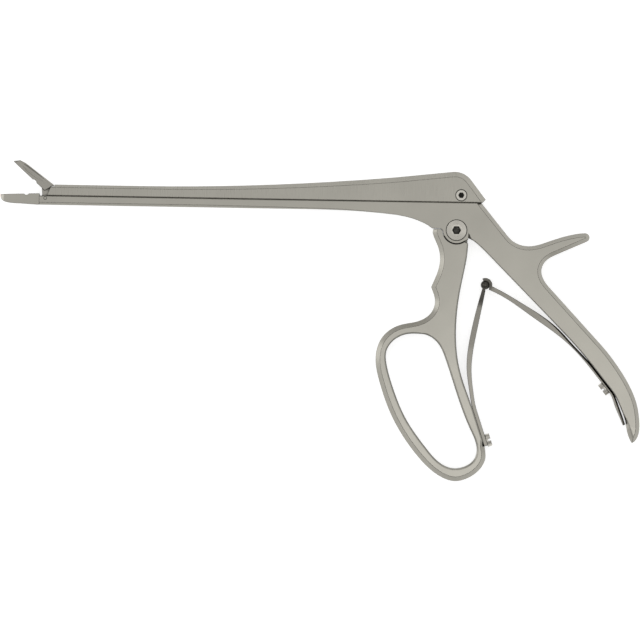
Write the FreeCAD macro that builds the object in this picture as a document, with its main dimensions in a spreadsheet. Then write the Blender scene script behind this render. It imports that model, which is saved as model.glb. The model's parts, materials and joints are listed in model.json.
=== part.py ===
import FreeCAD, Part
import math
import os

# A pituitary rongeur: a long-shafted surgical forceps for biting out soft tissue.
# The instrument lies flat. X runs along the shaft towards the hand, Y is up in the
# plane of the handles and Z is the thickness, with the lower cheek on z = 0.
# The origin is on the axis of the main pivot.

os.makedirs("parts", exist_ok=True)
Vector = FreeCAD.Vector
doc = FreeCAD.newDocument("Rongeur")

SIZES = {
    "body_thickness": 6.4,
    "tongue_slot": 2.6,
    "tongue_clearance": 0.1,
    "running_clearance": 0.04,
    "fit_clearance": 0.02,
    "shaft_width": 4.4,
    "shaft_reach": 164.8,
    "shaft_top": 11.1,
    "shaft_depth": 3.6,
    "slide_gap": 0.05,
    "slide_front_rise": 4.43,
    "slide_bevel": 1.1,
    "crest_bevel": 2.0,
    "parting_bevel": 0.25,
    "shaft_bevel": 0.9,
    "handle_bevel": 1.5,
    "loop_bevel": 1.7,
    "inner_bevel": 0.3,
    "loop_round": 1.0,
    "jaw_width": 3.8,
    "jaw_opening": 44.5,
    "jaw_pivot_drop": 0.95,
    "drive_pin_back": 2.5,
    "drive_pin_rise": 2.6,
    "tang_thickness": 1.6,
    "tang_clearance": 0.08,
    "jaw_pin_radius": 0.6,
    "knuckle_radius": 1.75,
    "drive_boss_radius": 1.2,
    "drive_slot_skin": 0.5,
    "cup_wall": 0.6,
    "cup_depth": 1.8,
    "cup_length": 9.6,
    "jaw_rounding": 0.8,
    "rail_neck_width": 1.3,
    "rail_neck_depth": 0.9,
    "rail_head_width": 2.6,
    "rail_head_depth": 0.9,
    "rail_length": 12.0,
    "rail_clearance": 0.06,
    "lobe_radius": 5.25,
    "shoulder_gap": 0.4,
    "hub_radius": 5.0,
    "pivot_sleeve_radius": 3.2,
    "pivot_screw_radius": 2.1,
    "pivot_head_radius": 4.2,
    "pivot_head_height": 1.2,
    "pivot_dish_radius": 3.95,
    "pivot_dish_depth": 0.5,
    "head_edge": 0.2,
    "pivot_hex_flats": 3.0,
    "pivot_hex_depth": 2.8,
    "drive_land": 0.58,
    "drive_offset": 1.65,
    "drive_sleeve_radius": 1.9,
    "drive_screw_radius": 1.35,
    "drive_head_radius": 2.3,
    "drive_head_height": 0.9,
    "drive_hex_flats": 2.0,
    "drive_hex_depth": 2.2,
    "drive_eye_wall": 1.3,
    "slot_play": 0.2,
    "leaf_width": 5.0,
    "leaf_tip_width": 2.6,
    "front_leaf_thickness": 1.45,
    "rear_leaf_thickness": 1.25,
    "rear_leaf_bevel": 0.7,
    "ball_radius": 1.85,
    "ball_clearance": 0.15,
    "socket_wall": 0.8,
    "leaf_screw_radius": 1.25,
    "leaf_screw_head_radius": 2.6,
    "leaf_screw_head_height": 1.8,
    "leaf_screw_length": 3.0,
    "leaf_screw_slot": 0.9,
    "leaf_screw_slot_depth": 1.0,
    "leaf_pin_radius": 0.6,
    "leaf_pin_depth": 1.6,
    "leaf_pin_spacing": 5.0,
}


def fill_sheet():
    sheet = doc.addObject("Spreadsheet::Sheet", "Sizes")
    for row, (alias, number) in enumerate(SIZES.items(), start=1):
        sheet.set("A%d" % row, alias)
        sheet.set("B%d" % row, str(number))
        sheet.setAlias("B%d" % row, alias)
    doc.recompute()
    return sheet


SHEET = fill_sheet()


def size(alias):
    return float(SHEET.get(alias))


# Places worked out from the sizes.
MIDDLE = size("body_thickness") / 2.0
SHAFT_TOP = size("shaft_top")
SHAFT_BOTTOM = SHAFT_TOP - size("shaft_depth")
SLIDE_BOTTOM = SHAFT_TOP + size("slide_gap")
SLIDE_FRONT_TOP = SLIDE_BOTTOM + size("slide_front_rise")
HINGE = Vector(-size("shaft_reach"), SHAFT_TOP - size("jaw_pivot_drop"), 0)
DRIVE = Vector(size("drive_offset"),
               SLIDE_BOTTOM + size("drive_land") + size("drive_head_radius"), 0)
LEVER = math.hypot(size("drive_pin_back"), size("drive_pin_rise"))
LEVER_OPEN = math.degrees(math.atan2(size("drive_pin_back"), size("drive_pin_rise")))
LEVER_MIDDLE = LEVER_OPEN - size("jaw_opening") / 2.0
HALF_SWING = math.radians(size("jaw_opening") / 2.0)
SLIDE_TRAVEL = 2.0 * LEVER * math.sin(HALF_SWING) / math.cos(math.radians(LEVER_MIDDLE))
OPEN_TILT = math.degrees(math.atan2(DRIVE.x, DRIVE.y))
CLOSED_TILT = math.degrees(math.atan2(DRIVE.x - SLIDE_TRAVEL, DRIVE.y))
SQUEEZE = OPEN_TILT - CLOSED_TILT


class Outline:
    """A closed outline drawn with straight, round and smooth stretches that run on."""

    def __init__(self, x, y):
        self.start = Vector(x, y, 0)
        self.end = self.start
        self.heading = None
        self.curves = []

    def line(self, x, y):
        point = Vector(x, y, 0)
        self.curves.append(Part.LineSegment(self.end, point))
        self.heading = (point - self.end).normalize()
        self.end = point
        return self

    def turn(self, x, y):
        """A corner: what follows leaves in this direction."""
        self.heading = Vector(x, y, 0).normalize()
        return self

    def bend(self, x, y):
        """A round stretch that carries on from the heading to a point."""
        point = Vector(x, y, 0)
        chord = point - self.end
        angle = math.atan2(self.heading.x * chord.y - self.heading.y * chord.x,
                           self.heading.x * chord.x + self.heading.y * chord.y)
        across = Vector(chord.y, -chord.x, 0).normalize()
        middle = self.end + chord * 0.5 + across * (chord.Length / 2.0 * math.tan(angle / 2.0))
        self.curves.append(Part.Arc(self.end, middle, point))
        turned = FreeCAD.Rotation(Vector(0, 0, 1), math.degrees(2.0 * angle))
        self.heading = turned.multVec(self.heading)
        self.end = point
        return self

    def smooth(self, points, x, y):
        """A free curve that carries on from the heading and arrives in direction x, y."""
        through = [self.end] + [Vector(px, py, 0) for px, py in points]
        arrival = Vector(x, y, 0).normalize()
        curve = Part.BSplineCurve()
        curve.interpolate(Points=through, InitialTangent=self.heading, FinalTangent=arrival,
                          Scale=False)
        self.curves.append(curve)
        self.heading = arrival
        self.end = through[-1]
        return self

    def close(self):
        if self.end.distanceToPoint(self.start) > 1e-6:
            self.line(self.start.x, self.start.y)
        return self.curves


def rectangle(left, bottom, right, top):
    return Outline(left, bottom).line(right, bottom).line(right, top).line(left, top).close()


def new_body(label):
    return doc.addObject("PartDesign::Body", label)


def plane_of(body, role):
    return [item for item in body.Origin.OriginFeatures if item.Role == role][0]


def sketch(body, name, curves, role="XY_Plane", level=0.0):
    """A sketch parallel to one of the body's own planes, level being along its normal."""
    drawn = body.newObject("Sketcher::SketchObject", name)
    drawn.AttachmentSupport = (plane_of(body, role), [""])
    drawn.MapMode = "FlatFace"
    drawn.AttachmentOffset = FreeCAD.Placement(Vector(0, 0, level), FreeCAD.Rotation())
    drawn.addGeometry(curves, False)
    return drawn


def slab(body, name, curves, width):
    """Adds a plate of the outline, centred on the middle of the thickness."""
    drawn = sketch(body, name + "_outline", curves)
    drawn.setExpression("AttachmentOffset.Base.z", "Sizes.body_thickness / 2")
    pad = body.newObject("PartDesign::Pad", name)
    pad.Profile = drawn
    pad.SideType = "Symmetric"
    pad.setExpression("Length", width)
    pad.Refine = False
    body.Tip = pad
    return pad


def side_cut(body, name, curves, width):
    """Cuts the outline out over a width centred on the middle of the thickness."""
    drawn = sketch(body, name + "_outline", curves)
    drawn.setExpression("AttachmentOffset.Base.z", "Sizes.body_thickness / 2")
    pocket = body.newObject("PartDesign::Pocket", name)
    pocket.Profile = drawn
    pocket.SideType = "Symmetric"
    pocket.setExpression("Length", width)
    pocket.Refine = False
    body.Tip = pocket
    return pocket


def through_cut(body, name, curves, role="XY_Plane"):
    """Cuts the outline right through the body, both ways from the plane."""
    drawn = sketch(body, name + "_outline", curves, role)
    pocket = body.newObject("PartDesign::Pocket", name)
    pocket.Profile = drawn
    pocket.SideType = "Symmetric"
    pocket.Type = "ThroughAll"
    pocket.Refine = False
    body.Tip = pocket
    return pocket


def edges_where(feature, test):
    doc.recompute()
    return ["Edge%d" % number for number, edge in enumerate(feature.Shape.Edges, start=1) if test(edge)]


def bevel(body, name, test, expression, kind="PartDesign::Chamfer"):
    base = body.Tip
    names = edges_where(base, test)
    if not names:
        raise RuntimeError(name + " found no edge")
    made = body.newObject(kind, name)
    made.Base = (base, names)
    made.setExpression("Size" if kind.endswith("Chamfer") else "Radius", expression)
    made.Refine = False
    body.Tip = made
    return made


def on_faces(edge):
    """True for an edge that lies wholly in the lower or the upper face."""
    box = edge.BoundBox
    for level in (0.0, size("body_thickness")):
        if abs(box.ZMin - level) < 1e-4 and abs(box.ZMax - level) < 1e-4:
            return True
    return False


def section(body, name, place, points):
    """A cross-section of a bar at a place along X, its points being (height, side)."""
    drawn = Outline(points[0][0], points[0][1])
    for height, side in points[1:]:
        drawn.line(height, side)
    return sketch(body, name, drawn.close(), "YZ_Plane", place)


def loft(body, name, sections):
    made = body.newObject("PartDesign::AdditiveLoft", name)
    made.Profile = sections[0]
    made.Sections = sections[1:]
    made.Refine = False
    body.Tip = made
    return made


PLATE_START = -24.0
FLARE_START = -100.0


def bar_width(x):
    """The shaft is slim in front and widens smoothly to the body's full thickness."""
    slim = size("shaft_width")
    share = min(max((x - FLARE_START) / (PLATE_START - FLARE_START), 0.0), 1.0)
    return slim + (size("body_thickness") - slim) * share * share * (3.0 - 2.0 * share)


LOWER_STATIONS = (-88.0, -73.0, -58.0, -45.0, -34.0, PLATE_START)


def nose_strips(tip, shoulder):
    """The material beside and ahead of a jaw, seen from above, which is cut away."""
    half = size("jaw_width") / 2.0
    full = MIDDLE + 1.0
    ahead = tip - 2.0
    strip = Outline(shoulder, MIDDLE + full).line(ahead, MIDDLE + full)
    strip.line(ahead, MIDDLE - full).line(shoulder, MIDDLE - full)
    strip.line(shoulder, MIDDLE - half).line(tip + half, MIDDLE - half)
    strip.turn(-1, 0).bend(tip + half, MIDDLE + half)
    return strip.line(shoulder, MIDDLE + half).close()


JAW_LENGTH = 18.1
JAW_TIP = HINGE.x - JAW_LENGTH
RIM_SLOPE = math.tan(math.radians(2.0))
RIM_AT_TIP = SHAFT_TOP + 0.35
JAW_BACK = HINGE.x - 2.4
JAW_BACK_SLOPE = 0.3


def rim_height(x):
    return RIM_AT_TIP + RIM_SLOPE * (x - JAW_TIP)


# Where the two leaf springs are screwed down: straight seats on the handles.
FRONT_SEAT = (Vector(7.6, -71.4, 0), Vector(12.75, -86.8, 0))
REAR_SEAT = (Vector(55.0, -52.95, 0), Vector(63.52, -63.55, 0))
TIP_BEVEL_START = Vector(68.9, -75.3, 0)


def web_height(x):
    """The lower edge of the frame where the shaft grows into the hand grip."""
    rise = max(0.0, (x + 58.0) / 34.0)
    return SHAFT_BOTTOM - 1.7 * rise ** 2.2


def plate_outline():
    """The side view of the frame behind the shaft: lobe, hand grip, spur and back."""
    draw = Outline(PLATE_START, web_height(PLATE_START))
    draw.turn(1, -0.16).smooth([(-18.0, 4.55), (-9.6, 0.8)], 1, -0.62)
    draw.line(-6.6, 0.8)
    lobe = size("lobe_radius")
    draw.bend(-lobe * math.cos(0.08), -lobe * math.sin(0.08))
    draw.turn(0.08, -1).bend(lobe * math.sin(0.6), -lobe * math.cos(0.6))
    draw.line(4.15, -3.75).line(4.72, -3.75).line(4.75, -3.05)
    draw.turn(1, -0.35).smooth([(8.5, -5.4), (13.4, -10.05)], 28.2, -28.25)
    draw.line(41.6, -38.3)
    run = seat_direction(REAR_SEAT)
    draw.smooth([(48.5, -45.45), (REAR_SEAT[0].x, REAR_SEAT[0].y)], run.x, run.y)
    draw.line(REAR_SEAT[1].x, REAR_SEAT[1].y)
    draw.smooth([(66.3, -68.6), (TIP_BEVEL_START.x, TIP_BEVEL_START.y)], 0.3, -1)
    draw.turn(0.18, -1).smooth([(70.1, -81.0), (71.6, -84.0)], 0.7, -1)
    draw.turn(1, 0.45).smooth([(73.3, -82.4), (74.4, -75.5), (73.45, -69.1), (69.4, -59.6),
                               (63.0, -50.15), (59.0, -45.35)], -19.8, 21.25)
    draw.line(39.2, -24.1)
    draw.smooth([(35.0, -18.9), (34.2, -15.8), (35.5, -12.2), (40.7, -8.85), (50.3, -4.55),
                 (52.2, -3.72)], 2.3, 1.0)
    draw.bend(51.5, -0.35)
    draw.smooth([(47.0, -0.9), (38.2, -3.45), (28.4, -5.95), (22.3, -3.8), (19.2, -0.4)], -9.45, 11.5)
    draw.line(9.75, SHAFT_TOP).line(PLATE_START, SHAFT_TOP)
    return draw.close()


def jaw_half_outline():
    """The side view of the fixed jaw, from its tip back into the shaft."""
    draw = Outline(JAW_TIP + 0.1, rim_height(JAW_TIP + 0.1))
    draw.turn(0.1, -1).smooth([(JAW_TIP + 0.45, 9.7), (JAW_TIP + 1.2, 8.85), (JAW_TIP + 2.3, 8.4),
                               (JAW_TIP + 8.3, 7.86), (JAW_TIP + 14.8, SHAFT_BOTTOM)], 1, -0.02)
    draw.line(JAW_BACK, SHAFT_BOTTOM).line(JAW_BACK, SHAFT_TOP - 0.3)
    draw.line(JAW_BACK + JAW_BACK_SLOPE, SHAFT_TOP).line(JAW_BACK, rim_height(JAW_BACK))
    notch = HINGE.x - 7.55
    draw.line(notch + 0.95, rim_height(notch + 0.95)).turn(-0.6, -1)
    draw.smooth([(notch, rim_height(notch) - 0.55), (notch - 0.95, rim_height(notch - 0.95))], -0.6, 1)
    return draw.close()


def lower_section(body, name, x, bevel_size):
    half = bar_width(x) / 2.0
    floor = web_height(x)
    parting = size("parting_bevel")
    return section(body, name, x, [
        (SHAFT_TOP - parting, MIDDLE - half), (SHAFT_TOP, MIDDLE - half + parting),
        (SHAFT_TOP, MIDDLE + half - parting), (SHAFT_TOP - parting, MIDDLE + half),
        (floor + bevel_size, MIDDLE + half), (floor, MIDDLE + half - bevel_size),
        (floor, MIDDLE - half + bevel_size), (floor + bevel_size, MIDDLE - half)])


RAIL_FRONTS = (HINGE.x + 8.8, HINGE.x + 98.8)


def rail_groove(body, number, front):
    """A T-shaped groove that holds the slide down, with a wide mouth behind it."""
    gap = size("rail_clearance")
    start = front - SLIDE_TRAVEL - 4.0 * gap
    mouth_start = front + size("rail_length") + 2.0
    mouth_end = mouth_start + size("rail_length") + 4.0 * gap
    neck_floor = SHAFT_TOP - size("rail_neck_depth") - gap
    floor = SHAFT_TOP - size("rail_neck_depth") - size("rail_head_depth") - 2.0 * gap
    above = SHAFT_TOP + 1.0
    side_cut(body, "groove_neck_%d" % number, rectangle(start, neck_floor, mouth_end, above),
             "Sizes.rail_neck_width + 2 * Sizes.rail_clearance")
    side_cut(body, "groove_head_%d" % number, rectangle(start, floor, mouth_end, neck_floor + gap),
             "Sizes.rail_head_width + 2 * Sizes.rail_clearance")
    side_cut(body, "groove_mouth_%d" % number, rectangle(mouth_start, floor, mouth_end, above),
             "Sizes.rail_head_width + 2 * Sizes.rail_clearance")


def cup_outline(tip):
    """The mouth of a jaw's cup seen from above: a stadium inside the wall."""
    half = size("jaw_width") / 2.0 - size("cup_wall")
    front = tip + size("cup_wall") + half
    back = tip + size("cup_length") - half
    draw = Outline(front, MIDDLE - half).line(back, MIDDLE - half)
    draw.bend(back, MIDDLE + half)
    draw.line(front, MIDDLE + half)
    draw.bend(front, MIDDLE - half)
    return draw.close()


def hollow_cup(body, name, tip, level, upwards):
    """Hollows a cup from its rim, tapering towards the floor."""
    drawn = sketch(body, name + "_outline", cup_outline(tip), "XZ_Plane", -level)
    pocket = body.newObject("PartDesign::Pocket", name)
    pocket.Profile = drawn
    pocket.Reversed = not upwards
    pocket.setExpression("Length", "Sizes.cup_depth")
    pocket.TaperAngle = -14.0
    pocket.Refine = False
    body.Tip = pocket
    return pocket


def seat_direction(seat):
    run = seat[1] - seat[0]
    return run.normalize()


UP = Vector(0, 0, 1)


def turned(body, name, kind, place, direction, **sizes):
    """Adds or takes away a round shape standing at a place along a direction."""
    made = body.newObject("PartDesign::" + kind, name)
    for property_name, expression in sizes.items():
        made.setExpression(property_name, expression)
    made.Placement = FreeCAD.Placement(place, FreeCAD.Rotation(UP, direction))
    made.Refine = False
    body.Tip = made
    return made


def cross_bore(body, name, centre, radius):
    """A bore right through the thickness."""
    start = Vector(centre.x, centre.y, -1.0)
    turned(body, name, "SubtractiveCylinder", start, UP, Radius=radius, Height="Sizes.body_thickness + 2")


def hex_socket(body, name, centre, direction, flats, depth):
    """A six-sided key socket sunk along the opposite of the direction."""
    prism = turned(body, name, "SubtractivePrism", centre, -direction,
                   Circumradius=flats + " / sqrt(3)", Height=depth)
    prism.Polygon = 6


# The two leaf springs are screwed to straight seats, and their free ends meet in a
# ball and a hook half-way between the handles.
FRONT_SCREW_PLACE = 13.8
REAR_SCREW_PLACE = 10.65
MEETING = Vector(11.9, -21.7, 0)


def seat_normal(seat, towards):
    """The direction square to a seat, on the side where a point lies."""
    run = seat_direction(seat)
    normal = Vector(-run.y, run.x, 0)
    return normal if normal.dot(towards - seat[0]) > 0.0 else -normal


FRONT_NORMAL = seat_normal(FRONT_SEAT, Vector(100, 0, 0))
REAR_NORMAL = seat_normal(REAR_SEAT, Vector(-100, -100, 0))


def on_seat(seat, along):
    spot = seat[0] + seat_direction(seat) * along
    return Vector(spot.x, spot.y, MIDDLE)


def spring_holes(body, seat, normal, screw_place, thickness):
    """The tapped hole and the pin hole under a leaf spring."""
    screw_at = on_seat(seat, screw_place)
    pin_at = on_seat(seat, screw_place - size("leaf_pin_spacing"))
    turned(body, "spring_screw_hole", "SubtractiveCylinder", screw_at + normal * 0.5, -normal,
           Radius="Sizes.leaf_screw_radius + Sizes.fit_clearance",
           Height="Sizes.leaf_screw_length - Sizes.%s + 0.7" % thickness)
    turned(body, "spring_pin_hole", "SubtractiveCylinder", pin_at + normal * 0.5, -normal,
           Radius="Sizes.leaf_pin_radius + Sizes.fit_clearance",
           Height="Sizes.leaf_pin_depth + 0.6")


TANG_SLOT_FRONT = HINGE.x - 4.0
TANG_SLOT_BACK = HINGE.x + 3.0
TANG_SLOT_FLOOR = HINGE.y - 2.0
TONGUE_SLOT_HALF = 5.3


def make_frame():
    body = new_body("main_frame")
    slab(body, "grip_plate", plate_outline(), "Sizes.body_thickness")
    bevel(body, "back_bevel", on_back, "Sizes.handle_bevel")
    bevel(body, "inner_bevel", on_inner_edge, "Sizes.inner_bevel")
    bevel(body, "parting_bevel", on_plate_top, "Sizes.parting_bevel")
    edge = size("shaft_bevel")
    loft(body, "lower_shaft", [lower_section(body, "straight_%d" % number, x, edge)
                               for number, x in enumerate((JAW_BACK, FLARE_START))])
    fading = [(x, edge * (PLATE_START - x) / (PLATE_START - FLARE_START) + 0.05) for x in LOWER_STATIONS]
    loft(body, "lower_flare", [lower_section(body, "flare_%d" % number, x, cut)
                               for number, (x, cut) in enumerate([(FLARE_START, edge)] + fading)])
    slab(body, "fixed_jaw", jaw_half_outline(), "Sizes.jaw_width")
    through_cut(body, "round_nose", nose_strips(JAW_TIP, JAW_BACK), "XZ_Plane")
    hollow_cup(body, "cup", JAW_TIP, rim_height(JAW_TIP + size("cup_length") / 2.0) + 0.2, False)
    side_cut(body, "tang_slot",
             rectangle(TANG_SLOT_FRONT, TANG_SLOT_FLOOR, TANG_SLOT_BACK, SHAFT_TOP + 2.0),
             "Sizes.tang_thickness + 2 * Sizes.tang_clearance")
    cross_bore(body, "jaw_pin_bore", HINGE, "Sizes.jaw_pin_radius + Sizes.fit_clearance")
    for number, front in enumerate(RAIL_FRONTS):
        rail_groove(body, number, front)
    side_cut(body, "tongue_slot", rectangle(-TONGUE_SLOT_HALF, -7.0, TONGUE_SLOT_HALF, 12.0),
             "Sizes.tongue_slot")
    origin = Vector(0, 0, 0)
    cross_bore(body, "pivot_bore", origin, "Sizes.pivot_sleeve_radius + Sizes.fit_clearance")
    sink_both_faces(body, "pivot_sink", origin, "pivot_head")
    spring_holes(body, REAR_SEAT, REAR_NORMAL, REAR_SCREW_PLACE, "rear_leaf_thickness")
    return body


def on_back(edge):
    """True for the rim along the back of the hand grip, round the spur and the end."""
    middle = edge.valueAt((edge.FirstParameter + edge.LastParameter) / 2.0)
    behind = middle.x > 9.0 and middle.x - 9.75 + (middle.y + 3.0) * 0.9 > 0.0
    return on_faces(edge) and (behind or middle.y < TIP_BEVEL_START.y)


def on_plate_top(edge):
    """True for the straight rims under the slide."""
    box = edge.BoundBox
    return on_faces(edge) and box.YMin > SHAFT_TOP - 0.01 and box.XLength > 20.0


def on_inner_edge(edge):
    """True for the long straight rim on the inside of the hand grip."""
    middle = edge.valueAt((edge.FirstParameter + edge.LastParameter) / 2.0)
    straight = edge.BoundBox.XLength > 20.0 and edge.BoundBox.XMax < 45.0
    return on_faces(edge) and straight and middle.x > 15.0 and middle.y < -15.0


def sink_both_faces(body, name, centre, head):
    """Round sinks for a screw head above and its sleeve's flange below."""
    below = Vector(centre.x, centre.y, -1.0)
    above = Vector(centre.x, centre.y, size("body_thickness") + 1.0)
    for end, start, direction in (("below", below, UP), ("above", above, -UP)):
        turned(body, "%s_%s" % (name, end), "SubtractiveCylinder", start, direction,
               Radius="Sizes.%s_radius + Sizes.fit_clearance" % head,
               Height="Sizes.%s_height + 1" % head)


NOSE_CLEARANCE = 0.06
SLIDE_FRONT = JAW_BACK + JAW_BACK_SLOPE + SLIDE_TRAVEL + NOSE_CLEARANCE
RISE_START = -125.0
CLIMB_STATIONS = (RISE_START, -112.0, FLARE_START, -85.0, -70.0, -55.0, -39.0, PLATE_START)
REAR_RISE = DRIVE.y + 6.79 - SLIDE_FRONT_TOP
CREST = (-2.2, DRIVE.y + 9.25)


def slide_top(x):
    """The slide stays level in front and climbs in an even sweep to its crest."""
    share = max(0.0, (x - RISE_START) / (PLATE_START - RISE_START))
    return SLIDE_FRONT_TOP + REAR_RISE * share ** 1.9


def slide_section(body, name, x):
    half = bar_width(x) / 2.0
    share = max(0.0, (x - RISE_START) / (PLATE_START - RISE_START))
    edge = size("slide_bevel") + (size("crest_bevel") - size("slide_bevel")) * share
    parting = size("parting_bevel")
    top = slide_top(x)
    return section(body, name, x, [
        (SLIDE_BOTTOM, MIDDLE - half + parting), (SLIDE_BOTTOM + parting, MIDDLE - half),
        (top - edge, MIDDLE - half), (top, MIDDLE - half + edge),
        (top, MIDDLE + half - edge), (top - edge, MIDDLE + half),
        (SLIDE_BOTTOM + parting, MIDDLE + half), (SLIDE_BOTTOM, MIDDLE + half - parting)])


def crest_outline():
    """The side view of the slide's tall rear end."""
    heel = DRIVE.x + 9.82
    draw = Outline(PLATE_START, SLIDE_BOTTOM).line(heel - 1.22, SLIDE_BOTTOM)
    draw.line(heel, SLIDE_BOTTOM + 1.25)
    draw.line(heel - 5.97, DRIVE.y + 6.15).bend(CREST[0], CREST[1])
    draw.line(PLATE_START, slide_top(PLATE_START))
    return draw.close()


def slide_nose():
    """What is cut away ahead of the slide's sloping front end and its step for the jaw's heel."""
    draw = Outline(SLIDE_FRONT - 2.0, SHAFT_TOP - 1.0).line(SLIDE_FRONT, SHAFT_TOP - 1.0)
    draw.line(SLIDE_FRONT, SHAFT_TOP + 0.5).line(SLIDE_FRONT + 1.15, SHAFT_TOP + 3.3)
    draw.line(SLIDE_FRONT + 1.35, SHAFT_TOP + 3.65).line(SLIDE_FRONT + 2.65, SHAFT_TOP + 3.8)
    draw.line(SLIDE_FRONT + 3.1, SLIDE_FRONT_TOP + 1.0).line(SLIDE_FRONT - 2.0, SLIDE_FRONT_TOP + 1.0)
    return draw.close()


# The jaw's drive pin stands behind and above the hinge when the jaw is open.
PIN_OPEN = HINGE + Vector(size("drive_pin_back"), size("drive_pin_rise"), 0)
PIN_CLOSED = HINGE + FreeCAD.Rotation(UP, size("jaw_opening")).multVec(PIN_OPEN - HINGE)
PIN_PLAY = 0.05


def drive_slot_outline():
    """The leaning slot that turns the slide's push into the jaw's swing."""
    top = PIN_CLOSED + Vector(SLIDE_TRAVEL, 0, 0)
    run = (top - PIN_OPEN).normalize()
    side = Vector(run.y, -run.x, 0) * (size("jaw_pin_radius") + PIN_PLAY)
    low = PIN_OPEN - run * 2.5
    high = top + run * PIN_PLAY
    draw = Outline(low.x + side.x, low.y + side.y)
    draw.line(high.x + side.x, high.y + side.y)
    draw.bend(high.x - side.x, high.y - side.y)
    draw.line(low.x - side.x, low.y - side.y)
    return draw.close()


POCKET_HALF = 4.9
POCKET_TOP = DRIVE.y + 3.77
FORK_BACK = HINGE.x + size("knuckle_radius") + SLIDE_TRAVEL + 0.15


def slide_rail(body, number, front):
    """A T-shaped rail under the slide."""
    gap = size("rail_clearance")
    back = front + size("rail_length")
    neck_floor = SHAFT_TOP - size("rail_neck_depth") - gap
    floor = SHAFT_TOP - size("rail_neck_depth") - size("rail_head_depth") - gap
    slab(body, "rail_neck_%d" % number, rectangle(front, neck_floor - 0.2, back, SLIDE_BOTTOM + 0.3),
         "Sizes.rail_neck_width")
    slab(body, "rail_head_%d" % number, rectangle(front, floor, back, neck_floor),
         "Sizes.rail_head_width")


def make_slide():
    body = new_body("slide_bar")
    slab(body, "crest", crest_outline(), "Sizes.body_thickness")
    bevel(body, "crest_bevel", on_crest, "Sizes.crest_bevel")
    bevel(body, "parting_bevel", on_crest_bottom, "Sizes.parting_bevel")
    loft(body, "upper_shaft", [slide_section(body, "straight_%d" % number, x)
                               for number, x in enumerate((SLIDE_FRONT - 0.5, RISE_START))])
    loft(body, "upper_climb", [slide_section(body, "climb_%d" % number, x)
                               for number, x in enumerate(CLIMB_STATIONS)])
    through_cut(body, "sloping_nose", slide_nose())
    side_cut(body, "fork_slot", rectangle(SLIDE_FRONT - 1.0, SHAFT_TOP - 1.0,
                                          FORK_BACK, SLIDE_FRONT_TOP + 1.0),
             "Sizes.tang_thickness + 2 * Sizes.tang_clearance")
    side_cut(body, "drive_slot", drive_slot_outline(),
             "Sizes.shaft_width - 2 * Sizes.drive_slot_skin")
    side_cut(body, "tongue_pocket", rectangle(DRIVE.x - POCKET_HALF, SHAFT_TOP - 1.0,
                                              DRIVE.x + POCKET_HALF, POCKET_TOP),
             "Sizes.tongue_slot")
    for number, front in enumerate(RAIL_FRONTS):
        slide_rail(body, number, front)
    cross_bore(body, "drive_bore", DRIVE, "Sizes.drive_sleeve_radius + Sizes.fit_clearance")
    sink_both_faces(body, "drive_sink", DRIVE, "drive_head")
    return body


def on_crest(edge):
    middle = edge.valueAt((edge.FirstParameter + edge.LastParameter) / 2.0)
    return on_faces(edge) and middle.y > 15.0 and middle.x > PLATE_START + 1.0


def on_crest_bottom(edge):
    """True for the two straight rims over the frame."""
    box = edge.BoundBox
    return on_faces(edge) and box.YMax < SLIDE_BOTTOM + 0.01 and box.XLength > 20.0


JAW_LIFT = 0.05


def moving_jaw_outline():
    """The side view of the moving jaw when it is shut."""
    notch = HINGE.x - 7.8
    draw = Outline(JAW_TIP - 0.45, rim_height(JAW_TIP) + JAW_LIFT)
    draw.turn(-0.1, 1).bend(JAW_TIP + 0.3, 14.15)
    draw.line(HINGE.x - 1.3, 16.32).line(HINGE.x - 1.0, 16.1).line(HINGE.x - 1.7, 15.2)
    draw.line(HINGE.x - 1.75, 14.4).line(JAW_BACK + 0.05, rim_height(JAW_BACK) + 0.1)
    draw.line(notch + 1.0, rim_height(notch + 1.0) + JAW_LIFT).turn(-0.6, 1)
    draw.smooth([(notch, rim_height(notch) + 0.5), (notch - 1.0, rim_height(notch - 1.0) + JAW_LIFT)],
                -0.6, -1)
    return draw.close()


def tang_outline():
    """The thin tang: a knuckle on the hinge pin joined to a boss on the drive pin."""
    knuckle = size("knuckle_radius")
    boss = size("drive_boss_radius")
    run = (PIN_CLOSED - HINGE).normalize()
    lean = (knuckle - boss) / LEVER
    side = run * lean + Vector(run.y, -run.x, 0) * math.sqrt(1.0 - lean * lean)
    low = HINGE + side * knuckle
    high = PIN_CLOSED + side * boss
    draw = Outline(HINGE.x - 3.8, 12.6).line(HINGE.x - 3.8, 11.95).line(HINGE.x - knuckle, HINGE.y)
    draw.turn(0, -1).bend(low.x, low.y).line(high.x, high.y)
    draw.bend(PIN_CLOSED.x - boss * 0.5, PIN_CLOSED.y + boss * math.sqrt(0.75))
    draw.line(HINGE.x - 2.1, 15.5)
    return draw.close()


def make_jaw():
    """The jaw is drawn shut and then swung open about its hinge pin."""
    body = new_body("moving_jaw")
    slab(body, "shell", moving_jaw_outline(), "Sizes.jaw_width")
    bevel(body, "back_rounding", on_jaw_back, "Sizes.jaw_rounding", "PartDesign::Fillet")
    through_cut(body, "round_nose", nose_strips(JAW_TIP - 0.6, HINGE.x - 5.0), "XZ_Plane")
    hollow_cup(body, "cup", JAW_TIP, rim_height(JAW_TIP + size("cup_length") / 2.0) - 0.15, True)
    slab(body, "tang", tang_outline(), "Sizes.tang_thickness")
    cross_bore(body, "hinge_bore", HINGE, "Sizes.jaw_pin_radius + Sizes.running_clearance")
    cross_bore(body, "drive_pin_bore", PIN_CLOSED, "Sizes.jaw_pin_radius + Sizes.fit_clearance")
    swing = FreeCAD.Rotation(UP, -size("jaw_opening"))
    body.Placement = FreeCAD.Placement(HINGE - swing.multVec(HINGE), swing)
    return body


def on_jaw_back(edge):
    """True for the two long straight edges along the back of the jaw."""
    box = edge.BoundBox
    return box.ZLength < 1e-4 and box.XLength > 10.0 and box.YMin > 14.0


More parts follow.
